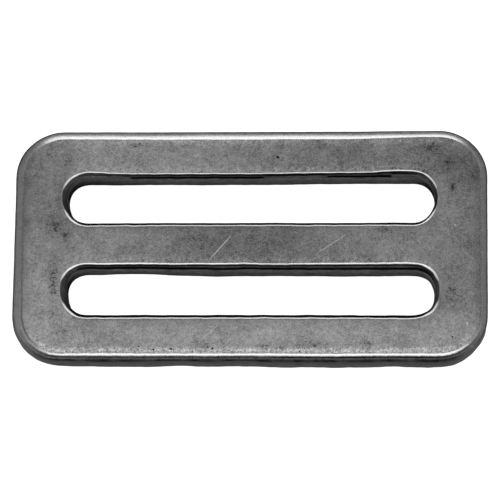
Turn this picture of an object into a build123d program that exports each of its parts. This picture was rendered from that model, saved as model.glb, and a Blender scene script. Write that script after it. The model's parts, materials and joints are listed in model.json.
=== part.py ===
from build123d import *

import math
import os

# Three-bar slide for 50 mm webbing: one flat blank of steel plate with two parallel slots.
#
# The origin is at the centre of the back face. +X runs along the slots, +Y across the three
# bars, and +Z points out of the front face. All sizes are in millimetres.
#
# The blank was sheared from the front, so its outline has a wide rolled edge in front, then a
# straight burnished land, then a fracture band that leans in towards the back. The slots were
# pierced from the back, so theirs is the other way round: the land is at the back, and the
# fracture band opens towards the front. Tumbling has rounded every edge that was left sharp.

# Driving dimensions of the plate.
PLATE_LENGTH = 68.0
PLATE_WIDTH = 34.8
PLATE_THICKNESS = 4.0
PLATE_CORNER_RADIUS = 7.0

# Driving dimensions of the two slots, at their narrowest section.
SLOT_LENGTH = 52.8
SLOT_GAP = 6.7
SLOT_CORNER_RADIUS = 3.2
SLOT_PITCH = 13.8

# The sheared outline: height where the fracture band ends, and how far the band leans in.
OUTLINE_FRACTURE_HEIGHT = 2.8
OUTLINE_FRACTURE_LEAN = 0.17
OUTLINE_BACK_RADIUS = 0.35

# The rolled front edge: a shallow flat, blended into the front face and into the land.
ROLL_FLAT_WIDTH = 0.6
ROLL_FLAT_DEPTH = 0.24
ROLL_FACE_RADIUS = 2.0
ROLL_LAND_RADIUS = 0.3

# The pierced slots: height where the land ends, and how far the fracture band opens in front.
SLOT_LAND_HEIGHT = 1.5
SLOT_FRACTURE_LEAN = 0.2
SLOT_FRONT_RADIUS = 0.5
SLOT_BACK_RADIUS = 0.45

STEEL_DENSITY = 7.85e-3  # g per cubic millimetre


def lean_angle(lean, height):
    """Angle from vertical, in degrees, of a band that moves sideways by lean over height."""
    return math.degrees(math.atan2(lean, height))


def sheared_blank():
    """The plate's outline, before its edges are rounded and its slots are pierced."""
    outline = RectangleRounded(PLATE_LENGTH, PLATE_WIDTH, PLATE_CORNER_RADIUS)
    section = Plane.XY.offset(OUTLINE_FRACTURE_HEIGHT) * outline
    land = extrude(section, amount=PLATE_THICKNESS - OUTLINE_FRACTURE_HEIGHT)
    lean = lean_angle(OUTLINE_FRACTURE_LEAN, OUTLINE_FRACTURE_HEIGHT)
    fracture = extrude(section, amount=-OUTLINE_FRACTURE_HEIGHT, taper=lean)
    return land + fracture


def roll_front_edge(blank):
    """The wide, shallow roll round the outline's front edge."""
    front = blank.faces().sort_by(Axis.Z)[-1]
    flat = chamfer(front.edges(), length=ROLL_FLAT_WIDTH, length2=ROLL_FLAT_DEPTH, reference=front)
    front_loop = flat.faces().sort_by(Axis.Z)[-1].edges()
    blended = fillet(front_loop, radius=ROLL_FACE_RADIUS)
    land_height = PLATE_THICKNESS - ROLL_FLAT_DEPTH
    land_loop = edges_at_height(blended, land_height)
    return fillet(land_loop, radius=ROLL_LAND_RADIUS)


def round_back_edge(blank):
    """The small tumbled radius round the outline's back edge."""
    back = blank.faces().sort_by(Axis.Z)[0]
    return fillet(back.edges(), radius=OUTLINE_BACK_RADIUS)


def edges_at_height(shape, height):
    """The edges that lie wholly at one height."""
    tolerance = 1e-4
    return shape.edges().filter_by_position(Axis.Z, height - tolerance, height + tolerance)


def slot_cutter():
    """The space of one slot, centred on the Z axis, with its fracture band and rounded mouths."""
    opening = RectangleRounded(SLOT_LENGTH, SLOT_GAP, SLOT_CORNER_RADIUS)
    land = extrude(opening, amount=SLOT_LAND_HEIGHT)
    section = Plane.XY.offset(SLOT_LAND_HEIGHT) * opening
    band_height = PLATE_THICKNESS - SLOT_LAND_HEIGHT
    lean = lean_angle(SLOT_FRACTURE_LEAN, band_height)
    fracture = extrude(section, amount=band_height, taper=-lean)
    return land + fracture


def pierce_slot(plate, centre_y):
    """The plate with one slot pierced through it, and the slot's two mouths rounded."""
    pierced = plate - Pos(0, centre_y, 0) * slot_cutter()
    front_mouth = slot_mouth(pierced, centre_y, PLATE_THICKNESS)
    rounded_front = fillet(front_mouth, radius=SLOT_FRONT_RADIUS)
    back_mouth = slot_mouth(rounded_front, centre_y, 0.0)
    return fillet(back_mouth, radius=SLOT_BACK_RADIUS)


def slot_mouth(plate, centre_y, height):
    """The loop of edges round one slot on the front or the back face."""
    reach = SLOT_GAP / 2 + SLOT_FRACTURE_LEAN + 0.05
    loop = edges_at_height(plate, height)
    across = loop.filter_by_position(Axis.Y, centre_y - reach, centre_y + reach)
    along = SLOT_LENGTH / 2 + SLOT_FRACTURE_LEAN + 0.05
    return across.filter_by_position(Axis.X, -along, along)


def slide_plate():
    """The finished plate."""
    plate = roll_front_edge(sheared_blank())
    plate = round_back_edge(plate)
    for side in (1, -1):
        plate = pierce_slot(plate, side * SLOT_PITCH / 2)
    return plate


def main():
    os.makedirs("parts", exist_ok=True)
    plate = slide_plate()
    plate.label = "slide_plate"
    export_step(plate, "parts/slide_plate.step")
    size = plate.bounding_box().size
    print(f"slide_plate: {size.X:.2f} x {size.Y:.2f} x {size.Z:.2f} mm")
    print(f"mass in steel: {plate.volume * STEEL_DENSITY:.1f} g")


main()
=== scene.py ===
import json
import math

import bpy
import numpy as np
from mathutils import Matrix, Vector
from mathutils.geometry import delaunay_2d_cdt
from mathutils.kdtree import KDTree


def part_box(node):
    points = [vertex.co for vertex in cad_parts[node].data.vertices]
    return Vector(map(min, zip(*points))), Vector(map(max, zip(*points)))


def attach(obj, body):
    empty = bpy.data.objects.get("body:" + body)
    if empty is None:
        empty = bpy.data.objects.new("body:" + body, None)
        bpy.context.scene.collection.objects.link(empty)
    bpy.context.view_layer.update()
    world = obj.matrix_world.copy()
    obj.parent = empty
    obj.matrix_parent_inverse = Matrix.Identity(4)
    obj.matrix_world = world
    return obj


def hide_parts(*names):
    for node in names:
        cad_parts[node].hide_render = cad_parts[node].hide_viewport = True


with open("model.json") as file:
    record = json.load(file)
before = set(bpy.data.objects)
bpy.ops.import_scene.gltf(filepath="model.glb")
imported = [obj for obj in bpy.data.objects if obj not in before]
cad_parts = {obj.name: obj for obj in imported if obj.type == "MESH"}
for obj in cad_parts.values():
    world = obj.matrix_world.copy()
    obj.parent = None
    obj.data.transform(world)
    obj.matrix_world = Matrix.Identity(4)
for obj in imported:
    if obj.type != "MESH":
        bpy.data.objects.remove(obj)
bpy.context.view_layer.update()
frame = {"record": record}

# The looks of a three-bar webbing slide, built round the imported plate. One closed mesh stands
# for the CAD node. It has the plate's outline and slots, and on them what stamping, tumbling and
# use leave: the uneven rolled edge, the burnished and the broken bands of the sheared walls, soft
# waves in the faces, pits and scratches. Working sizes are in millimetres.

MM = 0.001

# ---------------------------------------------------------------- sizes taken from the frame

LOW, HIGH = (np.array(corner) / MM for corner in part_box("slide_plate"))
BOX_LENGTH, BOX_WIDTH, TOP = HIGH - LOW
MOUNTS = {mount["name"]: mount for mount in frame["record"]["mounts"]}
SLOT_LENGTH = MOUNTS["strap_slot_upper"]["dims"]["slot_length_mm"]
SLOT_OFFSET = MOUNTS["strap_slot_upper"]["pos_m"][1] / MM

# ---------------------------------------------------------------- sizes of the edges

# Room left inside the CAD box for the outline's bulges, at the ends and along the sides.
END_MARGIN = 0.03
EDGE_MARGIN = 0.1
PLATE_LENGTH = BOX_LENGTH - 2 * END_MARGIN
PLATE_WIDTH = BOX_WIDTH - 2 * EDGE_MARGIN
CORNER_RADIUS = 7.0
SLOT_GAP = 6.7
SLOT_CORNER_RADIUS = 3.2

# A crease of a few degrees parts each rolled edge from the face, because the face was ground
# flat after stamping. Then the edge turns down along a quarter of an ellipse. A flat guard row
# just inside the crease keeps the crease sharp.
CREASE = math.tan(math.radians(5))
GUARD = 0.06

# The shares of each part of an edge at which a section has a row.
ROLL_STEPS = (0.0, 0.05, 0.12, 0.2, 0.3, 0.4, 0.5, 0.6, 0.7, 0.8, 0.88, 0.94, 0.98, 1.0)
OUTLINE_LAND_STEPS = (0.15, 0.4, 0.65, 0.9)
OUTLINE_BREAK_STEPS = (0.0, 0.05, 0.12, 0.3, 0.5, 0.7, 0.86, 1.0)
SLOT_SHADE_STEPS = (0.06, 0.12, 0.2, 0.28, 0.36, 0.45, 0.54, 0.63, 0.72, 0.81, 0.9, 0.97)
SLOT_BREAK_STEPS = (0.0, 0.06, 0.3, 0.6, 0.8, 1.0)
SLOT_LAND_STEPS = (0.4, 0.8, 1.0)
BACK_STEPS = (0.2, 0.4, 0.6, 0.8, 1.0)

# The rolled edge differs from side to side: its width, its depth, and the painted shade low on it
# and at its outer edge.
ROLL_WIDTHS = {"right": 1.03, "up": 1.29, "left": 1.26, "down": 1.12}
ROLL_DROPS = {"right": 0.38, "up": 0.40, "left": 0.40, "down": 0.70}
ROLL_LOW_SHADE = {"right": 0.15, "up": 0.35, "left": 0.12, "down": 0.9}
ROLL_EDGE_SHADE = {"right": 0.78, "up": 0.85, "left": 0.68, "down": 0.1}
OUTLINE_BREAK = 2.8
OUTLINE_LEAN = 0.14
OUTLINE_BACK_RADIUS = 0.36

# Where the outline stands out or in: centre, reach and amount, in mm.
OUTLINE_BULGES = [
    (26.0, 17.3, 9.0, 4.0, 0.08),
    (-8.0, 17.3, 22.0, 3.0, -0.04),
    (-33.0, 13.5, 2.5, 3.0, 0.07),
    (-33.3, -13.7, 1.8, 1.8, 0.13),
    (-27.0, -17.0, 4.0, 2.0, -0.20),
    (-11.0, -17.3, 4.0, 2.0, -0.16),
    (-1.5, -17.3, 2.6, 2.0, -0.16),
    (5.5, -17.3, 3.0, 2.0, 0.06),
    (13.5, -17.3, 4.0, 2.0, 0.09),
    (20.5, -17.3, 3.0, 2.0, -0.08),
    (25.5, -17.3, 2.0, 2.0, 0.08),
    (31.5, -15.3, 2.0, 2.0, -0.08),
]

# Where the outline's rolled edge is wider or narrower than its side.
ROLL_FLARES = [
    (26.0, 17.3, 8.0, 4.0, -0.34),
    (-27.0, 17.3, 5.0, 4.0, -0.1),
    (9.0, -17.3, 7.0, 3.0, -0.04),
    (-34.0, -11.5, 3.0, 5.0, 0.22),
]

# Where more painted shade than elsewhere darkens the crease between the face and the rolled edge.
CREASE_SHADE = [
    (-33.0, -13.5, 3.0, 3.0, 0.32),
    (-30.5, -16.0, 3.0, 2.5, 0.3),
]

# The two slots. By side, in mm: the width of the rolled mouth and how far its foot leans out.
# By place: where the hole (bulges) and its mouth (flares) are larger or smaller, where the mouth
# is worn flat, where painted shade fills the gap, and where it spreads over the whole wall. Along
# the edge, a band of painted shade starts, leaves a paler gap under the upper mouth and ends at
# distances in from the start of the mouth, in which depth counts by SINK_SHARE. Between each
# ledge's two x values the metal broke away in one piece, and there is only one dark line.
UPPER_SLOT = {
    "mouth": {"right": 0.56, "up": 0.60, "left": 0.95, "down": 0.70},
    "foot": {"right": 0.1, "up": 0.1, "left": 0.15, "down": 0.08},
    "bulges": [
        (-25.3, 9.1, 1.6, 1.4, 0.22),
        (-26.4, 5.6, 1.0, 1.2, -0.16),
        (-25.0, 3.9, 1.4, 0.8, 0.12),
        (16.0, 10.2, 10.0, 2.0, 0.14),
        (24.6, 9.6, 1.8, 1.4, 0.16),
        (26.2, 5.2, 1.2, 1.6, -0.12),
        (20.5, 3.6, 4.0, 1.2, -0.05),
        (-2.0, 3.6, 18.0, 1.2, -0.04),
    ],
    "flares": [
        (-23.0, 10.3, 3.2, 1.6, 0.25),
        (11.0, 10.3, 5.0, 1.6, 0.05),
        (21.5, 10.3, 3.6, 2.0, 0.34),
    ],
    "depth": 0.59,
    "worn": [],
    "shade_start": {"right": 0.08, "up": 0.14, "left": 0.06, "down": 0.15},
    "shade_band": {"right": 0.97, "up": 1.0, "left": 0.94, "down": 1.0},
    "gap": (0.41, 0.53),
    "shade_end": 0.84,
    "ledges": [(-30.0, -17.3), (1.7, 11.1), (20.0, 30.0)],
    "shade_filled": [],
    "shade_spread": [(-24.0, 9.5, 6.5, 3.0, 0.9), (25.3, 9.3, 2.4, 1.8, 0.9)],
    "seed": 200,
}
LOWER_SLOT = {
    "mouth": {"right": 0.9, "up": 0.85, "left": 1.08, "down": 0.76},
    "foot": {"right": 0.2, "up": 0.28, "left": 0.2, "down": 0.1},
    "bulges": [
        (-24.6, -4.4, 2.6, 1.4, 0.22),
        (-17.0, -3.6, 5.5, 1.4, 0.31),
        (-26.4, -8.0, 1.2, 2.0, -0.28),
        (-5.0, -3.6, 3.0, 1.4, -0.07),
        (14.0, -3.6, 7.0, 1.4, -0.08),
        (25.0, -4.5, 1.3, 1.0, 0.20),
        (26.4, -7.2, 0.9, 1.4, -0.09),
        (25.4, -9.4, 1.0, 0.8, 0.12),
        (20.0, -10.2, 5.0, 1.2, 0.05),
        (-5.0, -10.2, 26.0, 1.2, -0.04),
    ],
    "flares": [
        (-18.0, -3.6, 8.0, 1.6, -0.26),
        (-4.0, -3.6, 4.0, 1.6, 0.08),
        (4.5, -3.6, 3.0, 1.6, -0.10),
        (13.0, -3.6, 4.0, 1.6, 0.10),
        (20.0, -3.6, 4.0, 1.6, 0.08),
    ],
    "depth": 0.44,
    "worn": [(-18.0, -3.6, 9.0, 1.6, 0.75)],
    "shade_start": {"right": 0.12, "up": 0.22, "left": 0.06, "down": 0.14},
    "shade_band": {"right": 0.82, "up": 1.0, "left": 0.94, "down": 1.0},
    "gap": (0.44, 0.68),
    "shade_end": 0.98,
    "ledges": [(-30.0, -24.4)],
    "shade_filled": [(25.6, -4.9, 2.0, 1.8, 1.0)],
    "shade_spread": [(-27.0, -5.0, 3.5, 3.0, 0.9)],
    "seed": 300,
}
SINK_SHARE = 0.32
SLOT_LAND = 1.4
SLOT_BACK_RADIUS = 0.4

# A mouth wider than PLAIN_MOUTH spreads the painted shade lines out: distances in are divided by
# its stretch. The wall under the mouth, with its painted shade, stands WALL_SETBACK behind the
# mouth's foot.
PLAIN_MOUTH = 0.55
WALL_SETBACK = 0.04

# The thin grey film of dirt over the outline's wall, and the painted shade on the land at a
# slot's ends.
WALL_DIRT = 0.36
END_LAND_SHADE = {"right": 0.24, "up": 0.0, "left": 0.06, "down": 0.0}

# How far in from a face's edge the painted highlight along its border is brightest, and how far
# it reaches.
BORDER_PEAK = 0.4
BORDER_REACH = 0.4

# How much painted highlight each side's border gets (below 0, painted shade), for the outline
# and both slots.
OUTLINE_BORDER_HIGHLIGHT = {"right": -0.6, "up": 0.6, "left": -0.6, "down": 3.2}
UPPER_BORDER_HIGHLIGHT = {"right": -0.3, "up": 0.8, "left": -0.4, "down": -0.3}
LOWER_BORDER_HIGHLIGHT = {"right": -0.3, "up": 0.8, "left": -0.2, "down": -0.3}

# How deep the soft waves in the front face are, and the mesh's spacing along the edges and over
# the two faces.
WAVE_DEPTH = 0.022
STATION_STEP = 0.32
FRONT_GRID = 0.27
BACK_GRID = 0.5

# ---------------------------------------------------------------- smooth random drifts


def wander(outline, longest, octaves, seed):
    """A smooth random drift round an outline, about -1 to 1; its longest wave is given in mm."""
    rng = np.random.default_rng(seed)
    total = np.zeros(len(outline["arc"]))
    weight_sum = 0.0
    for octave in range(octaves):
        cycles = max(1, round(outline["perimeter"] / longest * 1.9**octave))
        weight = 0.7**octave
        phase = rng.uniform(0, 2 * math.pi, 2)
        turn = 2 * math.pi * outline["arc"] / outline["perimeter"]
        total += weight * np.sin(cycles * turn + phase[0])
        total += 0.6 * weight * np.sin((cycles + 1) * turn + phase[1])
        weight_sum += 1.2 * weight
    return total / weight_sum


def field(x, y, scale, seed):
    """A smooth random field over the plate, about -1 to 1, whose features are about scale mm."""
    cells = 128
    table = np.random.default_rng(seed).uniform(-1, 1, (cells, cells))
    u, v = x / scale + 53.3, y / scale + 41.7
    column, row = np.floor(u).astype(int), np.floor(v).astype(int)
    across, up = u - column, v - row
    across = across * across * (3 - 2 * across)
    up = up * up * (3 - 2 * up)

    def corner(step_x, step_y):
        return table[(column + step_x) % cells, (row + step_y) % cells]

    lower = corner(0, 0) * (1 - across) + corner(1, 0) * across
    upper = corner(0, 1) * (1 - across) + corner(1, 1) * across
    return lower * (1 - up) + upper * up


def smooth_step(value, low, high):
    """0 below low, 1 above high, and smooth between."""
    share = np.clip((value - low) / (high - low), 0, 1)
    return share * share * (3 - 2 * share)


def patches(x, y, spots):
    """The sum of soft round spots. Each is (centre x, centre y, reach x, reach y, height)."""
    total = np.zeros(len(x))
    for centre_x, centre_y, reach_x, reach_y, height in spots:
        away = ((x - centre_x) / reach_x) ** 2 + ((y - centre_y) / reach_y) ** 2
        total += height * np.exp(-away)
    return total


# ---------------------------------------------------------------- outlines


def rounded_outline(length, width, radius, centre_y, side):
    """Stations round a rectangle with rounded corners, anticlockwise. side is 1 where the metal
    is inside the outline and -1 where it is outside. away points out of the metal."""
    flat_x, flat_y = length - 2 * radius, width - 2 * radius
    bend = math.pi * radius / 2
    perimeter = 2 * (flat_x + flat_y) + 4 * bend
    count = 4 * round(perimeter / STATION_STEP / 4)
    arc = np.arange(count) * perimeter / count
    runs = [flat_y / 2, bend, flat_x, bend, flat_y, bend, flat_x, bend, flat_y / 2]
    starts = np.concatenate([[0], np.cumsum(runs)[:-1]])
    corners = [(1, 1), (-1, 1), (-1, -1), (1, -1)]
    points, outward = [], []
    for position in arc:
        run = int(np.searchsorted(starts, position, side="right")) - 1
        along = position - starts[run]
        if run % 2:
            quarter = run // 2
            angle = quarter * math.pi / 2 + along / radius
            sign_x, sign_y = corners[quarter]
            centre = np.array([sign_x * flat_x / 2, sign_y * flat_y / 2])
            normal = np.array([math.cos(angle), math.sin(angle)])
            points.append(centre + radius * normal)
        else:
            angle = run // 2 * math.pi / 2
            normal = np.array([round(math.cos(angle)), round(math.sin(angle))])
            tangent = np.array([-normal[1], normal[0]])
            reach = np.abs(normal) @ np.array([length, width]) / 2
            back = {0: 0.0, 8: flat_y / 2}.get(run, runs[run] / 2)
            points.append(normal * reach + tangent * (along - back))
        outward.append(normal)
    return {
        "points": np.array(points) + [0, centre_y],
        "away": np.array(outward) * side,
        "outward": np.array(outward, float),
        "arc": arc,
        "perimeter": perimeter,
        "side": side,
    }


def by_direction(outline, sizes):
    """A size that differs on the right, upper, left and lower sides, blended in the corners."""
    x, y = outline["outward"].T
    shares = {"right": np.maximum(x, 0), "up": np.maximum(y, 0)}
    shares.update({"left": np.maximum(-x, 0), "down": np.maximum(-y, 0)})
    return sum(sizes[name] * share**2 for name, share in shares.items())


def facing(outline, *sides):
    """1 on the named sides of an outline and 0 on the others, blended in the corners."""
    names = ("right", "up", "left", "down")
    return by_direction(outline, {name: float(name in sides) for name in names})


# ---------------------------------------------------------------- sections of the sheared edges

# A section is a list of rows from the front face to the back face. Each row has one value for
# every station: how far out of the metal it stands, how high, and how it looks.


def row(out, height, **looks):
    """One row of a section."""
    return {"out": np.asarray(out), "height": np.asarray(height), "looks": looks}


def drop(share, depth, width, lip=0.0):
    """How far a rolled edge has turned down at a share of its width. A lip makes it turn later."""
    crease = CREASE * width
    turned = share ** (1 + lip)
    return crease * share + (depth - crease) * (1 - np.sqrt(1 - turned * turned))


def quarter_turn(radius, share):
    """How far in and how high a rounded back edge is at a share of its quarter turn."""
    angle = math.pi / 2 * share
    return radius * (1 - math.cos(angle)), radius * (1 - math.sin(angle))


def outline_shape(outline):
    """The outline's shape at every station: its bulge, its rolled edge, its wall, its back edge."""
    x, y = outline["points"].T
    swell = patches(x, y, OUTLINE_BULGES) + 0.02 * wander(outline, 9, 4, 10)
    width = by_direction(outline, ROLL_WIDTHS) + patches(x, y, ROLL_FLARES)
    width = width * (1 + 0.03 * wander(outline, 24, 4, 11)) + 0.03 * wander(outline, 2.2, 3, 9)
    return {
        "swell": np.minimum(swell, EDGE_MARGIN),
        "width": width,
        "depth": by_direction(outline, ROLL_DROPS) * (1 + 0.08 * wander(outline, 30, 3, 12)),
        "break_height": OUTLINE_BREAK + 0.16 * wander(outline, 18, 5, 13),
        "lean": OUTLINE_LEAN * (1 + 0.5 * wander(outline, 12, 4, 14)),
        "radius": OUTLINE_BACK_RADIUS * (1 + 0.35 * wander(outline, 16, 4, 15)),
    }


def roll_looks(outline):
    """A function that gives the looks of the outline's rolled edge at a share of its width."""
    x, y = outline["points"].T
    ends = facing(outline, "right", "left")
    sideways = np.abs(outline["outward"][:, 0])
    # shine dims the rubbed edge as it turns towards the ends and gives some back at the very ends:
    # painted shade that narrows the highlight round the corners.
    dull_start = np.where(outline["outward"][:, 1] < 0, 0.55, 0.35)
    shine = 1 - 0.7 * smooth_step(sideways - dull_start, 0.0, 0.35)
    shine = shine + 0.4 * smooth_step(sideways, 0.9, 1.0)
    # Painted shade: a dark band low on the rolled edge, darkest on the near side, a dark outer edge,
    # and a dark line in the crease at the ends.
    shade_band = by_direction(outline, ROLL_LOW_SHADE) * (1 + 0.15 * wander(outline, 9, 4, 16))
    edge_shade = by_direction(outline, ROLL_EDGE_SHADE)
    crease_shade = 0.6 * ends + patches(x, y, CREASE_SHADE)
    patchy = 0.82 + 0.16 * smooth_step(x, 1, 8) + 0.08 * wander(outline, 9, 4, 17)
    near = facing(outline, "down")

    def looks(share):
        rub = 1 - 0.5 * smooth_step(share, 0.5, 1.0)
        low = shade_band * smooth_step(share, 0.62, 0.74) * (1 - smooth_step(share, 0.95, 1.0))
        low = np.maximum(low, edge_shade * smooth_step(share, 0.74, 0.88))
        crease = crease_shade * math.exp(-((share / 0.13) ** 2))
        # A painted dark reflection: a thin dark line just under the near edge's highlight.
        line = patchy * near * smooth_step(share, 0.25, 0.38) * (1 - smooth_step(share, 0.5, 0.62))
        dirt = np.maximum(np.maximum(low, crease), line)
        return {"rub": rub * (1 - low) * (1 - line) * shine, "dirt": dirt}

    return looks


def outline_section(outline):
    """The outline's edge: rolled in front, then the burnished land, then the broken band."""
    shape = outline_shape(outline)
    swell, width, depth = shape["swell"], shape["width"], shape["depth"]
    break_height, radius = shape["break_height"], shape["radius"]
    looks_at = roll_looks(outline)
    # The guard row is darkened at the ends: painted shade in the crease.
    rows = [row(-width - GUARD, TOP, dirt=0.28 * facing(outline, "right", "left"))]
    for share in ROLL_STEPS:
        out = width * (share - 1) + swell * share**2
        rows.append(row(out, TOP - drop(share, depth, width), **looks_at(share)))
    land_top = TOP - depth
    for share in OUTLINE_LAND_STEPS:
        height = land_top + (break_height - land_top) * share
        rows.append(row(swell, height, land=1.0, rub=0.1, dirt=WALL_DIRT))
    for share in OUTLINE_BREAK_STEPS:
        height = break_height + (radius - break_height) * share
        step_in = 0.3 * smooth_step(share, 0.0, 0.06) + 0.7 * share
        rough = 0.03 * wander(outline, 2.2, 3, 20 + len(rows)) * (0.05 < share < 1)
        ledge = 0.05 * math.exp(-(((share - 0.05) / 0.05) ** 2))
        out = swell - shape["lean"] * step_in + rough - ledge
        # The grey film of dirt on the wall, with a painted dark line where the land meets the broken
        # band.
        dirt = WALL_DIRT + 0.2 * math.exp(-(((share - 0.05) / 0.06) ** 2))
        rows.append(row(out, height, broken=1.0, dirt=dirt))
    bottom = rows[-1]["out"]
    for share in BACK_STEPS:
        inward, height = quarter_turn(radius, share)
        dirt = WALL_DIRT * (1 - share)
        rows.append(row(bottom - inward, height, broken=0.4, rub=0.7, dirt=dirt))
    return rows


def slot_shape(outline, slot):
    """A slot's shape at every station: its bulge, its mouth, where its painted shade band ends, its
    land.
    """
    x, y = outline["points"].T
    seed = slot["seed"]
    swell = 0.02 * wander(outline, 6, 3, seed + 7) - patches(x, y, slot["bulges"])
    foot = by_direction(outline, slot["foot"]) * (1 + 0.3 * wander(outline, 12, 4, seed + 3))
    width = by_direction(outline, slot["mouth"]) - foot + patches(x, y, slot["flares"])
    width = width * (1 + 0.06 * wander(outline, 14, 4, seed))
    width = np.maximum(width + 0.02 * wander(outline, 3.5, 2, seed + 6), 0.2)
    depth = slot["depth"] * (1 + 0.12 * wander(outline, 18, 4, seed + 1)) * (0.5 + width)
    depth = depth * (1 - patches(x, y, slot["worn"]))
    stretch = np.maximum(width / PLAIN_MOUTH, 1.0) ** 0.7
    shade_end = slot["shade_end"] + 0.15 * patches(x, y, slot["shade_filled"])
    shade_end = shade_end + 0.03 * wander(outline, 16, 5, seed + 2)
    shade_foot = TOP - (shade_end * stretch - width) / SINK_SHARE
    return {
        "swell": swell,
        "foot": foot,
        "width": width,
        "depth": depth,
        "stretch": stretch,
        "shade_foot": np.minimum(shade_foot, TOP - depth - 0.25),
        "land_height": SLOT_LAND + 0.3 * wander(outline, 13, 4, seed + 5),
        "radius": SLOT_BACK_RADIUS * (1 + 0.35 * wander(outline, 22, 3, seed + 4)),
    }


def slot_shade(outline, slot, shade_start):
    """A function that gives how black the painted shade on a slot's edge is at a distance in from where
    the edge starts.
    """
    x, y = outline["points"].T
    above = facing(outline, "up")
    shade_filled, shade_spread = patches(x, y, slot["shade_filled"]), patches(x, y, slot["shade_spread"])
    full = by_direction(outline, slot["shade_band"])
    gap_start, gap_end = slot["gap"]
    ledge = above**2 * sum(
        smooth_step(x - start, 0, 0.4) * smooth_step(end - x, 0, 0.4) for start, end in slot["ledges"]
    )

    def shade_band(reach):
        gap = above * smooth_step(reach - gap_start, -0.03, 0.03)
        gap = gap * (1 - smooth_step(reach - gap_end, -0.03, 0.03)) * (1 - shade_filled)
        black = full * (1 - 0.32 * gap * (1 - ledge)) * (1 - 0.2 * shade_spread)
        black = black * (1 - 0.6 * ledge * smooth_step(reach, 0.48, 0.58))
        return black * smooth_step(reach - shade_start, -0.03, 0.04)

    return shade_band


def slot_section(outline, slot):
    """A slot's edge: a rolled mouth, a line of painted shade, the broken band, the land, the back edge.
    """
    shape = slot_shape(outline, slot)
    swell, foot, width, depth = (shape[name] for name in ("swell", "foot", "width", "depth"))
    shade_foot, land_height, radius = (shape[name] for name in ("shade_foot", "land_height", "radius"))
    stretch = shape["stretch"]
    mouth_foot = TOP - depth
    sideways = np.abs(outline["outward"][:, 0])
    # shine takes the rubbed mouth's brightness away at the slot's ends: painted shade where the
    # highlight fades.
    shine = 1 - 0.95 * smooth_step(sideways, 0.86, 0.98)
    # At the corner arcs the mouth gets the scratches' bright smooth look, a later turn and a later
    # start of the shade: a painted highlight.
    arc_highlight = smooth_step(sideways, 0.3, 0.6) * (1 - smooth_step(sideways, 0.86, 0.96))
    shade_start = by_direction(outline, slot["shade_start"]) + 0.11 * arc_highlight
    shade_band = slot_shade(outline, slot, shade_start)
    straight = facing(outline, "up", "down")
    shade_spread = patches(*outline["points"].T, slot["shade_spread"])

    # The guard row is darkened along the slot's lower side: painted shade in the crease.
    rows = [row(swell - foot - width - GUARD, TOP, dirt=0.4 * facing(outline, "down"))]
    for share in ROLL_STEPS:
        sunk = drop(share, depth, width, 0.7 * arc_highlight)
        reach = (width * share + SINK_SHARE * sunk) / stretch
        bright = 1 - smooth_step(reach - shade_start, -0.06, 0.04)
        # The rolled mouth: rubbed bright up to the shade, with the painted highlight at the corner
        # arcs.
        looks = {"rub": bright * shine, "cut": 0.7 * bright * arc_highlight, "broken": 1 - bright}
        rows.append(row(swell - foot + width * (share - 1), TOP - sunk, dirt=shade_band(reach), **looks))
    for share in SLOT_SHADE_STEPS:
        height = mouth_foot + (shade_foot - mouth_foot) * share
        reach = (width + SINK_SHARE * (TOP - height)) / stretch
        rows.append(row(swell - foot - WALL_SETBACK, height, broken=1.0, dirt=shade_band(reach)))
    for share in SLOT_BREAK_STEPS:
        height = shade_foot + (land_height - shade_foot) * share
        rough = 0.025 * wander(outline, 2.2, 3, slot["seed"] + 10 + len(rows)) * (share < 1)
        # Darker further down the broken band, with a dark line at its top and painted shade at the
        # slot's ends and where the shade spreads.
        dirt = 0.04 + 0.44 * share + 0.4 * (1 - straight) + 0.3 * shade_spread
        dirt = np.maximum(dirt, 0.5 * (share == 0))
        rows.append(row(swell - foot * (1 - share) + rough, height, broken=1.0, dirt=dirt))
    for share in SLOT_LAND_STEPS:
        height = land_height + (radius - land_height) * share
        # The land is dark and darker towards the back edge, with painted shade at the slot's ends and
        # where the shade spreads.
        dirt = 0.48 + 0.38 * share**3 + by_direction(outline, END_LAND_SHADE) + 0.2 * shade_spread
        rows.append(row(swell, height, land=1.0, dirt=np.minimum(dirt, 0.9)))
    for share in BACK_STEPS:
        inward, height = quarter_turn(radius, share)
        looks = {"land": 1 - share, "rub": 0.5 * share, "dirt": 0.84 * (1 - share)}
        rows.append(row(swell - inward, height, **looks))
    return rows


# ---------------------------------------------------------------- marks on the front face

# Scratches: start and end on the face, width, depth and brightness.
SCRATCHES = [
    ((-5.9, -2.25), (-2.7, 1.5), 0.09, 0.016, 0.65),
    ((9.3, -1.4), (13.9, 1.65), 0.08, 0.012, 0.4),
    ((-7.3, -14.6), (-4.2, -11.7), 0.08, 0.008, 0.45),
    ((-14.1, -15.8), (-12.8, -13.4), 0.07, 0.006, 0.4),
    ((-17.5, -13.4), (-17.4, -12.7), 0.08, 0.006, 0.5),
    ((-16.9, -13.0), (-16.2, -11.9), 0.07, 0.004, 0.3),
    ((-3.6, -14.9), (-2.1, -13.4), 0.07, 0.004, 0.25),
    ((9.6, -13.9), (11.3, -12.2), 0.07, 0.004, 0.3),
    ((-8.6, 13.5), (-7.4, 13.5), 0.08, 0.005, 0.3),
    ((-14.9, 1.2), (-14.3, 2.3), 0.08, 0.004, 0.3),
    ((30.85, -11.4), (31.15, -12.0), 0.12, 0.012, 0.8),
    ((31.5, -11.5), (32.1, -12.9), 0.07, 0.004, 0.3),
    ((30.3, -14.0), (30.6, -14.2), 0.12, 0.010, 0.8),
    ((23.9, 0.8), (24.5, 0.2), 0.08, 0.005, 0.5),
    ((29.2, 3.1), (29.4, 2.9), 0.11, 0.008, 0.9),
]

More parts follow.
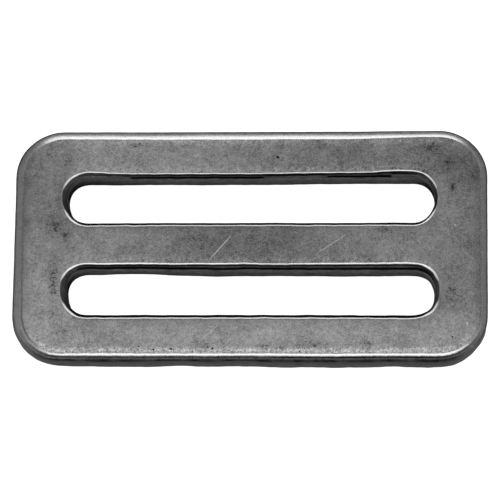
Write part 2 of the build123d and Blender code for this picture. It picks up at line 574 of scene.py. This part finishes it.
# Pits: place on the face, radius and depth.
PITS = [
    ((3.8, 13.3), 0.17, 0.12),
    ((28.9, -13.7), 0.11, 0.05),
    ((-13.6, -15.6), 0.13, 0.05),
    ((-15.7, -15.1), 0.10, 0.04),
    ((-11.1, -15.5), 0.15, 0.05),
    ((-5.2, -15.4), 0.14, 0.05),
    ((7.2, -15.9), 0.12, 0.05),
]

# Soft differences of tarnish over the face: centre, reach and amount.
TINTS = [
    (0, -13.8, 60, 3.4, 0.45),
    (-14, 13.5, 13, 4, 0.24),
    (-8, 15.8, 14, 0.4, 0.3),
    (-22.8, 13.7, 1.6, 1.8, 0.12),
    (12, 13.8, 14, 4, -0.2),
    (0, 0, 14, 4, -0.3),
    (-20, 0, 8, 4, 0.14),
    (31.0, 0, 4, 14, -0.14),
    (29.0, 12, 5, 5, -0.35),
    (-29.5, -8, 5, 7, 0.46),
    (30.0, -9, 3, 5, 0.14),
    (-30.5, 10, 4, 8, -0.18),
    (27.6, 8.0, 1.2, 3.0, 0.2),
]

# Smudges of dark specks: centre, reach and amount.
SMUDGES = [
    (-16.3, 15.3, 1.8, 0.5, 1.0),
    (-26.5, 12.8, 0.9, 1.0, 0.9),
    (-28.0, 3.0, 1.2, 1.2, 1.2),
    (-26.4, 1.4, 0.9, 0.7, 1.2),
    (-28.2, -5.5, 0.8, 3.6, 1.1),
    (4.5, 14.9, 0.8, 0.5, 0.8),
    (10.5, 14.9, 1.2, 0.5, 0.8),
    (25.9, 14.7, 1.3, 0.8, 1.2),
    (28.3, 11.8, 0.8, 1.7, 0.6),
    (29.0, 8.6, 0.5, 0.5, 1.4),
    (28.8, -7.1, 0.9, 1.8, 0.9),
    (-6.0, -1.9, 1.0, 0.4, 0.5),
    (4.6, 2.3, 1.2, 0.4, 0.3),
    (19.2, 2.2, 1.2, 0.4, 0.9),
    (4.4, -2.4, 0.8, 0.4, 0.5),
    (9.4, -2.4, 1.2, 0.5, 0.8),
    (13.2, -2.4, 1.0, 0.4, 0.7),
    (17.2, -2.2, 1.0, 0.5, 0.8),
    (20.0, -2.3, 1.2, 0.4, 0.8),
    (-6.2, -15.2, 1.3, 0.5, 1.0),
    (2.3, -15.2, 0.7, 0.5, 0.8),
    (4.6, -15.2, 0.8, 0.5, 0.8),
    (8.8, -14.9, 2.0, 0.6, 1.0),
    (17.0, -14.8, 0.7, 0.9, 0.9),
]


# A scratch's groove: offset across it, and shares of its depth and brightness there. Then a
# pit's rings in the same way: share of its radius, share of its depth, and dirt.
GROOVE = ((-1, 0, 0), (-0.4, 0.6, 0.8), (0, 1, 1), (0.4, 0.6, 0.8), (1, 0, 0))
PIT_RINGS = ((0.55, 0.75, 1.0), (1.0, 0.1, 0.75), (1.5, 0.0, 0.0))


def scratch_lines():
    """The rows of points along every scratch, as (points, depth, brightness) for each row."""
    lines = []
    for start, end, width, depth, shine in SCRATCHES:
        start, end = np.array(start), np.array(end)
        length = np.linalg.norm(end - start)
        along = (end - start) / length
        across = np.array([-along[1], along[0]])
        stations = np.linspace(0, 1, max(4, round(length / 0.22)))
        fade = np.sin(math.pi * stations) ** 0.35
        middle = start + stations[:, None] * (end - start)
        for offset, sink, bright in GROOVE:
            line = middle + across * offset * width
            lines.append((line, sink * depth * fade, shine * bright * fade))
    return lines


def pit_rings():
    """The rings of points of every pit, as (points, depth, dirt) for each ring."""
    rings = []
    for centre, radius, depth in PITS:
        rings.append((np.array([centre]), np.array([depth]), np.array([1.0])))
        for share, sink, dirt in PIT_RINGS:
            angles = np.arange(8) * math.pi / 4 + share
            ring = np.array(centre) + radius * share * np.stack([np.cos(angles), np.sin(angles)], 1)
            rings.append((ring, np.full(8, depth * sink), np.full(8, dirt)))
    return rings


# ---------------------------------------------------------------- meshing


class PlateMesh:
    """Collects the vertices, faces and per-vertex looks of the plate."""

    LOOKS = ("rub", "land", "broken", "cut", "dirt")

    def __init__(self):
        self.points = []
        self.faces = []
        self.looks = {name: [] for name in self.LOOKS}

    def add_points(self, points, **looks):
        """Adds points, which may be (count, 3), and returns their indices."""
        first = sum(len(block) for block in self.points)
        self.points.append(np.asarray(points, float))
        for name in self.LOOKS:
            self.looks[name].append(np.broadcast_to(looks.get(name, 0.0), len(points)).astype(float))
        return np.arange(first, first + len(points))

    def add_band(self, outline, rows):
        """Adds the swept edge of one outline. Returns the index rings at the front and the back."""
        rings = []
        for line in rows:
            flat = outline["points"] + outline["away"] * line["out"][:, None]
            height = np.broadcast_to(line["height"], len(flat))
            rings.append(self.add_points(np.column_stack([flat, height]), **line["looks"]))
        for upper, lower in zip(rings, rings[1:]):
            after_upper, after_lower = np.roll(upper, -1), np.roll(lower, -1)
            quads = np.column_stack([upper, lower, after_lower, after_upper])
            if outline["side"] < 0:
                quads = quads[:, ::-1]
            self.faces.extend(quads.tolist())
        return rings[0], rings[-1]

    def all_points(self):
        return np.concatenate(self.points)

    def fill_face(self, rings, grid_points, extra_lines, extra_rings, height, up):
        """Fills a face between its rings with triangles over grid points and marks."""
        known = self.all_points()
        places, indices, edges, faces = [], [], [], []

        def put(points, vertex_indices, closed, joined):
            first = len(places)
            places.extend(points.tolist())
            indices.extend(vertex_indices.tolist())
            count = len(points)
            if joined:
                last = count if closed else count - 1
                edges.extend((first + k, first + (k + 1) % count) for k in range(last))
            return list(range(first, first + count))

        for ring in rings:
            faces.append(put(known[ring][:, :2], ring, True, True))
        for points, sink, bright in extra_lines:
            spots = np.column_stack([points, height - sink])
            put(points, self.add_points(spots, cut=bright), False, True)
        for points, sink, dirt in extra_rings:
            spots = np.column_stack([points, height - sink])
            put(points, self.add_points(spots, dirt=dirt), False, False)
        spots = np.column_stack([grid_points, np.full(len(grid_points), height)])
        put(grid_points, self.add_points(spots), False, False)

        found = delaunay_2d_cdt([Vector(p) for p in places], edges, faces, 2, 1e-6)
        triangles, origins = found[2], found[3]
        sources = [origin[0] if origin else None for origin in origins]
        if None in sources:
            raise ValueError("two marks on a face cross each other")
        for triangle in triangles:
            corners = [indices[sources[corner]] for corner in triangle]
            self.faces.append(corners if up else corners[::-1])


def nearest(points, others):
    """The index of the nearest of some other points, and the distance to it, for each point."""
    tree = KDTree(len(others))
    for index, (x, y) in enumerate(others):
        tree.insert((x, y, 0), index)
    tree.balance()
    found = [tree.find((x, y, 0)) for x, y in points]
    return np.array([hit[1] for hit in found]), np.array([hit[2] for hit in found])


def face_grid(step, ring_points, ring_away, marks):
    """A grid of triangles' corners over the metal of a face, clear of its rings and marks."""
    row_step = step * math.sqrt(3) / 2
    rows = np.arange(-BOX_WIDTH / 2, BOX_WIDTH / 2, row_step)
    columns = np.arange(-BOX_LENGTH / 2, BOX_LENGTH / 2, step)
    x, y = np.meshgrid(columns, rows)
    x = x + (np.arange(len(rows)) % 2)[:, None] * step / 2
    points = np.column_stack([x.ravel(), y.ravel()])
    points = points + np.random.default_rng(5).uniform(-0.12, 0.12, points.shape) * step
    index, _ = nearest(points, ring_points)
    inside = -((points - ring_points[index]) * ring_away[index]).sum(1)
    points = points[inside > step * 0.55]
    if len(marks):
        _, distance = nearest(points, marks)
        points = points[distance > step * 0.5]
    return points


def build_plate():
    """The plate's mesh object, standing for the CAD node."""
    plate = PlateMesh()
    outer = rounded_outline(PLATE_LENGTH, PLATE_WIDTH, CORNER_RADIUS, 0.0, 1)
    upper = rounded_outline(SLOT_LENGTH, SLOT_GAP, SLOT_CORNER_RADIUS, SLOT_OFFSET, -1)
    lower = rounded_outline(SLOT_LENGTH, SLOT_GAP, SLOT_CORNER_RADIUS, -SLOT_OFFSET, -1)
    bands = [
        plate.add_band(outer, outline_section(outer)),
        plate.add_band(upper, slot_section(upper, UPPER_SLOT)),
        plate.add_band(lower, slot_section(lower, LOWER_SLOT)),
    ]
    away = np.concatenate([outline["away"] for outline in (outer, upper, lower)])
    # The painted highlight along each border, by side (painted shade where below 0).
    border_light = np.concatenate([
        by_direction(outer, OUTLINE_BORDER_HIGHLIGHT),
        by_direction(upper, UPPER_BORDER_HIGHLIGHT),
        by_direction(lower, LOWER_BORDER_HIGHLIGHT),
    ])
    fronts = [band[0] for band in bands]
    backs = [band[1] for band in bands]
    lines, rings = scratch_lines(), pit_rings()
    marks = np.concatenate([entry[0] for entry in lines + rings])
    front_edge = plate.all_points()[np.concatenate(fronts)][:, :2]
    back_edge = plate.all_points()[np.concatenate(backs)][:, :2]
    plate.fill_face(fronts, face_grid(FRONT_GRID, front_edge, away, marks), lines, rings, TOP, True)
    plate.fill_face(backs, face_grid(BACK_GRID, back_edge, away, []), [], [], 0.0, False)
    return make_object(plate, front_edge, border_light)


def make_object(plate, front_edge, border_light):
    """Turns the collected points into a mesh object with its looks as attributes."""
    points = plate.all_points()
    x, y, z = points.T
    index, distance = nearest(points[:, :2], front_edge)
    looks = {name: np.concatenate(values) for name, values in plate.looks.items()}
    looks["tint"] = patches(x, y, TINTS)
    looks["soil"] = patches(x, y, SMUDGES)
    # The painted highlight along the face's border, strongest BORDER_PEAK in from the edge (painted
    # shade where below 0).
    looks["border"] = border_light[index] * np.exp(-(((distance - BORDER_PEAK) / BORDER_REACH) ** 2))
    facing_up = smooth_step(z, 2.6, 3.4)
    wave = 0.5 + 0.5 * (0.6 * field(x, y, 9.0, 31) + 0.4 * field(x, y, 3.6, 32))
    z = z - WAVE_DEPTH * wave * facing_up
    points = np.column_stack([x, y, z]) * MM
    mesh = bpy.data.meshes.new("slide_plate_worn")
    mesh.from_pydata(points.tolist(), [], plate.faces)
    mesh.validate()
    mesh.shade_smooth()
    for name, values in looks.items():
        mesh.attributes.new(name, "FLOAT", "POINT").data.foreach_set("value", values.astype(np.float32))
    piece = bpy.data.objects.new("slide_plate_worn", mesh)
    bpy.context.scene.collection.objects.link(piece)
    return piece


# ---------------------------------------------------------------- material


class Nodes:
    """Short calls for building one material's or world's node tree."""

    def __init__(self, tree):
        self.tree = tree
        tree.nodes.clear()

    def add(self, kind, **settings):
        """Adds a node. The inputs setting gives values or sockets to link, by input name."""
        node = self.tree.nodes.new(kind)
        inputs = settings.pop("inputs", {})
        for name, value in settings.items():
            setattr(node, name, value)
        for name, value in inputs.items():
            if isinstance(value, bpy.types.NodeSocket):
                self.tree.links.new(value, node.inputs[name])
            else:
                node.inputs[name].default_value = value
        return node

    def math(self, operation, first, second=0.0, third=0.0):
        inputs = {0: first, 1: second, 2: third}
        return self.add("ShaderNodeMath", operation=operation, inputs=inputs).outputs[0]

    def attribute(self, name):
        return self.add("ShaderNodeAttribute", attribute_name=name).outputs["Fac"]

    def noise(self, vector, scale, detail, roughness):
        inputs = {"Vector": vector, "Scale": scale, "Detail": detail, "Roughness": roughness}
        return self.add("ShaderNodeTexNoise", inputs=inputs).outputs["Fac"]

    def remap(self, value, low, high, new_low=0.0, new_high=1.0):
        inputs = {0: value, 1: low, 2: high, 3: new_low, 4: new_high}
        node = self.add("ShaderNodeMapRange", interpolation_type="SMOOTHSTEP", inputs=inputs)
        return node.outputs[0]

    def mix(self, share, first, second):
        inputs = {0: share, 2: first, 3: second}
        return self.add("ShaderNodeMix", data_type="FLOAT", inputs=inputs).outputs[0]

    def grey(self, tone):
        """A grey with the same value in all three channels."""
        return self.add("ShaderNodeCombineColor", inputs={0: tone, 1: tone, 2: tone}).outputs[0]

    def spread(self, base, pairs):
        """base plus each value, less its middle of 0.5, times its weight."""
        for value, weight in pairs:
            base = self.math("MULTIPLY_ADD", self.math("SUBTRACT", value, 0.5), weight, base)
        return base


# How light and how rough the steel is: on the face, where it is rubbed bright, on the sheared
# walls, under dirt and painted shade, and in a fresh scratch and the painted highlight at the slot
# corners.
FACE_TONE = 0.257
RUBBED_TONE = 0.66
WALL_TONE = 0.46
DIRT_AND_SHADE_TONE = 0.012
SCRATCH_AND_HIGHLIGHT_TONE = 0.85
FACE_ROUGHNESS = 0.40
RUBBED_ROUGHNESS = 0.2
BROKEN_ROUGHNESS = 0.6
SCRATCH_ROUGHNESS = 0.35

# The looks stored on the mesh, and four sizes of mottling, from clouds to grain, as the noise's
# scale, detail and roughness.
STEEL_LOOKS = ("rub", "land", "broken", "cut", "dirt", "soil", "tint", "border")
MOTTLING = ((120.0, 3.0, 0.6), (430.0, 3.0, 0.6), (1500.0, 4.0, 0.8), (5200.0, 3.0, 0.8))


def face_tone(nodes, place, looks, noises):
    """The mottled face: tarnish, the painted highlight along its border, soft tints and smudges of dark
    specks.
    """
    cloud, blotch, mottle, grain = noises
    soil = looks["soil"]
    strength = nodes.spread(1.0, ((cloud, 0.45), (blotch, 0.95), (mottle, 1.75), (grain, 2.6)))
    half_tint = nodes.math("MULTIPLY", looks["tint"], 0.5)
    strength = nodes.math("MULTIPLY_ADD", strength, nodes.math("ADD", half_tint, 1.0), half_tint)
    # The painted highlight along the border, made ragged by the mottling.
    ragged = nodes.spread(0.3, ((mottle, 2.0), (grain, 2.0)))
    strength = nodes.math("MULTIPLY_ADD", looks["border"], ragged, strength)
    speck = nodes.noise(place, 2300.0, 2.0, 0.6)
    speck_start = nodes.math("MULTIPLY_ADD", soil, -0.22, 0.68)
    dark = nodes.math("MULTIPLY", nodes.math("SUBTRACT", speck, speck_start), 7.0)
    dark = nodes.add("ShaderNodeClamp", inputs={0: dark}).outputs[0]
    strength = nodes.math("MULTIPLY", strength, nodes.math("MULTIPLY_ADD", dark, -0.65, 1.0))
    strength = nodes.math("MULTIPLY", strength, nodes.math("MULTIPLY_ADD", soil, -0.2, 1.0))
    return nodes.math("MULTIPLY", strength, FACE_TONE)


def wall_tone(nodes, place, noises):
    """The sheared walls: grain drawn out along the edge."""
    _, _, mottle, grain = noises
    flat = nodes.add("ShaderNodeMapping", inputs={"Vector": place, "Scale": (0.2, 0.2, 0.9)})
    streak = nodes.noise(flat.outputs[0], 2600.0, 3.0, 0.7)
    wall = nodes.spread(1.0, ((mottle, 1.2), (grain, 1.4), (streak, 1.8)))
    return nodes.math("MULTIPLY", wall, WALL_TONE)


def steel_tone(nodes, place, looks, noises):
    """How light the steel is, from its face, its rubbed edges, its walls, dirt and painted shade,
    scratches and painted highlights.
    """
    tone = face_tone(nodes, place, looks, noises)
    tone = nodes.mix(nodes.math("MULTIPLY", looks["rub"], 0.85), tone, RUBBED_TONE)
    wall = wall_tone(nodes, place, noises)
    tone = nodes.mix(nodes.math("MULTIPLY", looks["land"], 0.85), tone, wall)
    tone = nodes.mix(nodes.math("MULTIPLY", looks["broken"], 0.95), tone, wall)
    # Dirt and painted shade: near-black.
    tone = nodes.mix(looks["dirt"], tone, DIRT_AND_SHADE_TONE)
    # Scratches, and the painted highlight at the slots' corner arcs.
    return nodes.mix(looks["cut"], tone, SCRATCH_AND_HIGHLIGHT_TONE)


def steel_roughness(nodes, looks, noises):
    """How rough the steel is: smooth where rubbed or scratched, rough where it broke."""
    cloud, _, mottle, _ = noises
    rough = nodes.spread(FACE_ROUGHNESS, ((mottle, 0.4), (cloud, 0.2)))
    rough = nodes.mix(nodes.math("MULTIPLY", looks["rub"], 0.85), rough, RUBBED_ROUGHNESS)
    rough = nodes.mix(looks["broken"], rough, BROKEN_ROUGHNESS)
    return nodes.mix(looks["cut"], rough, SCRATCH_ROUGHNESS)


def steel_relief(nodes, noises):
    """The normal of the tumbled surface's fine relief."""
    _, _, mottle, grain = noises
    relief = nodes.math("ADD", nodes.math("MULTIPLY", mottle, 0.6), nodes.math("MULTIPLY", grain, 0.3))
    inputs = {"Strength": 0.8, "Distance": 0.00002, "Height": relief}
    return nodes.add("ShaderNodeBump", inputs=inputs).outputs["Normal"]


def steel_material():
    """Tumbled bare steel: mottled tarnish, rubbed edges, sheared walls, dirt and scratches, with
    painted highlights and shade.
    """
    material = bpy.data.materials.new("worn_steel")
    material.use_nodes = True
    nodes = Nodes(material.node_tree)
    place = nodes.add("ShaderNodeTexCoord").outputs["Object"]
    looks = {name: nodes.attribute(name) for name in STEEL_LOOKS}
    noises = [nodes.noise(place, *settings) for settings in MOTTLING]
    # Where dirt and painted shade lie thick, the grazing glint is turned off as well.
    glint = nodes.remap(looks["dirt"], 0.45, 0.9, 1.0, 0.0)
    inputs = {
        "Base Color": nodes.grey(steel_tone(nodes, place, looks, noises)),
        "Metallic": 1.0,
        "Roughness": steel_roughness(nodes, looks, noises),
        "Specular Tint": nodes.grey(glint),
        "Normal": steel_relief(nodes, noises),
    }
    shader = nodes.add("ShaderNodeBsdfPrincipled", inputs=inputs)
    nodes.add("ShaderNodeOutputMaterial", inputs={"Surface": shader.outputs[0]})
    return material


# ---------------------------------------------------------------- studio


def floor_material():
    """Plain white card, lit evenly enough that it shows only the faintest shadow."""
    material = bpy.data.materials.new("studio_floor")
    material.use_nodes = True
    nodes = Nodes(material.node_tree)
    glow = nodes.add("ShaderNodeEmission", inputs={"Color": (1, 1, 1, 1), "Strength": 0.93})
    card = nodes.add("ShaderNodeBsdfDiffuse", inputs={"Color": (0.8, 0.8, 0.8, 1)})
    both = nodes.add("ShaderNodeAddShader", inputs={0: glow.outputs[0], 1: card.outputs[0]})
    nodes.add("ShaderNodeOutputMaterial", inputs={"Surface": both.outputs[0]})
    return material


def build_floor():
    """A pale round floor under the plate."""
    radius, sides, height = 3.0, 64, -0.00002
    ring = [2 * math.pi * k / sides for k in range(sides)]
    points = [(radius * math.cos(a), radius * math.sin(a), height) for a in ring]
    mesh = bpy.data.meshes.new("studio_floor")
    mesh.from_pydata(points, [], [list(range(sides))])
    mesh.materials.append(floor_material())
    floor = bpy.data.objects.new("studio_floor", mesh)
    bpy.context.scene.collection.objects.link(floor)
    floor.visible_glossy = False


LIGHT_DISTANCE = 0.9
LIGHT_WIDTH = 0.47
LIGHT_CENTRE_X = -0.012


def soft_light(name, centre_angle, spread_angle, radiance):
    """A flat soft light over the plate's middle line. Angles are from straight up towards +Y."""
    lean = math.radians(centre_angle)
    height = 2 * LIGHT_DISTANCE * math.tan(math.radians(spread_angle / 2))
    light = bpy.data.lights.new(name, "AREA")
    light.shape = "RECTANGLE"
    light.size, light.size_y = LIGHT_WIDTH, height
    light.energy = radiance * math.pi * LIGHT_WIDTH * height
    lamp = bpy.data.objects.new(name, light)
    lamp.location = (LIGHT_CENTRE_X, LIGHT_DISTANCE * math.sin(lean), LIGHT_DISTANCE * math.cos(lean))
    lamp.rotation_euler = (-lean, 0, 0)
    lamp.visible_camera = False
    bpy.context.scene.collection.objects.link(lamp)


def build_lights():
    """Two soft boxes: one straight over the plate, and one behind it that fades upwards."""
    soft_light("front_softbox", -1.0, 20, 1.9)
    soft_light("back_softbox", 32, 16, 1.9)
    soft_light("back_softbox_fade", 44.5, 9, 0.27)


ROOM_DARK, ROOM_PALE, ROOM_HORIZON = 0.13, 0.30, 0.6


def build_world():
    """A dim room with paler sides, which is white where the camera looks straight at it."""
    world = bpy.data.worlds.new("studio_room")
    world.use_nodes = True
    nodes = Nodes(world.node_tree)
    direction = nodes.add("ShaderNodeTexCoord").outputs["Generated"]
    parts = nodes.add("ShaderNodeSeparateXYZ", inputs={0: direction}).outputs
    sideways = nodes.math("ABSOLUTE", parts[0])
    room = nodes.remap(sideways, 0.25, 0.6, ROOM_DARK, ROOM_PALE)
    above_floor = nodes.remap(parts[2], -0.35, -0.1)
    below_lights = nodes.remap(parts[2], 0.42, 0.62, 1.0, 0.0)
    room = nodes.mix(nodes.math("MULTIPLY", above_floor, below_lights), room, ROOM_HORIZON)
    seen = nodes.add("ShaderNodeLightPath").outputs["Is Camera Ray"]
    colour = nodes.grey(nodes.mix(seen, room, 1.0))
    glow = nodes.add("ShaderNodeBackground", inputs={"Color": colour, "Strength": 1.0})
    nodes.add("ShaderNodeOutputWorld", inputs={"Surface": glow.outputs[0]})
    bpy.context.scene.world = world


# ---------------------------------------------------------------- camera

CAMERA_ELEVATION = 72.35
CAMERA_AZIMUTH = 8.63
CAMERA_ROLL = -8.28
CAMERA_DISTANCE = 0.5937
CAMERA_LENS = 296.4
CAMERA_SHIFT_RIGHT = -0.00021
CAMERA_SHIFT_UP = 0.00048


def build_camera():
    """A long lens that looks down at the plate from in front, a little from the right."""
    azimuth, elevation = math.radians(CAMERA_AZIMUTH), math.radians(CAMERA_ELEVATION)
    roll = math.radians(CAMERA_ROLL)
    back = Vector((
        math.sin(azimuth) * math.cos(elevation),
        -math.cos(azimuth) * math.cos(elevation),
        math.sin(elevation),
    ))
    level = Vector((math.cos(azimuth), math.sin(azimuth), 0))
    upright = back.cross(level)
    right = math.cos(roll) * level + math.sin(roll) * upright
    up = -math.sin(roll) * level + math.cos(roll) * upright
    camera = bpy.data.cameras.new("camera")
    camera.lens = CAMERA_LENS
    camera.sensor_width = 36.0
    camera.clip_start, camera.clip_end = 0.05, 20.0
    holder = bpy.data.objects.new("camera", camera)
    place = back * CAMERA_DISTANCE + right * CAMERA_SHIFT_RIGHT + up * CAMERA_SHIFT_UP
    turn = Matrix((right, up, back)).transposed()
    holder.matrix_world = Matrix.Translation(place) @ turn.to_4x4()
    bpy.context.scene.collection.objects.link(holder)
    bpy.context.scene.camera = holder


bpy.context.scene.view_settings.view_transform = "Standard"
piece = build_plate()
piece.data.materials.append(steel_material())
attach(piece, "root")
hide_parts("slide_plate")
build_floor()
build_lights()
build_world()
build_camera()
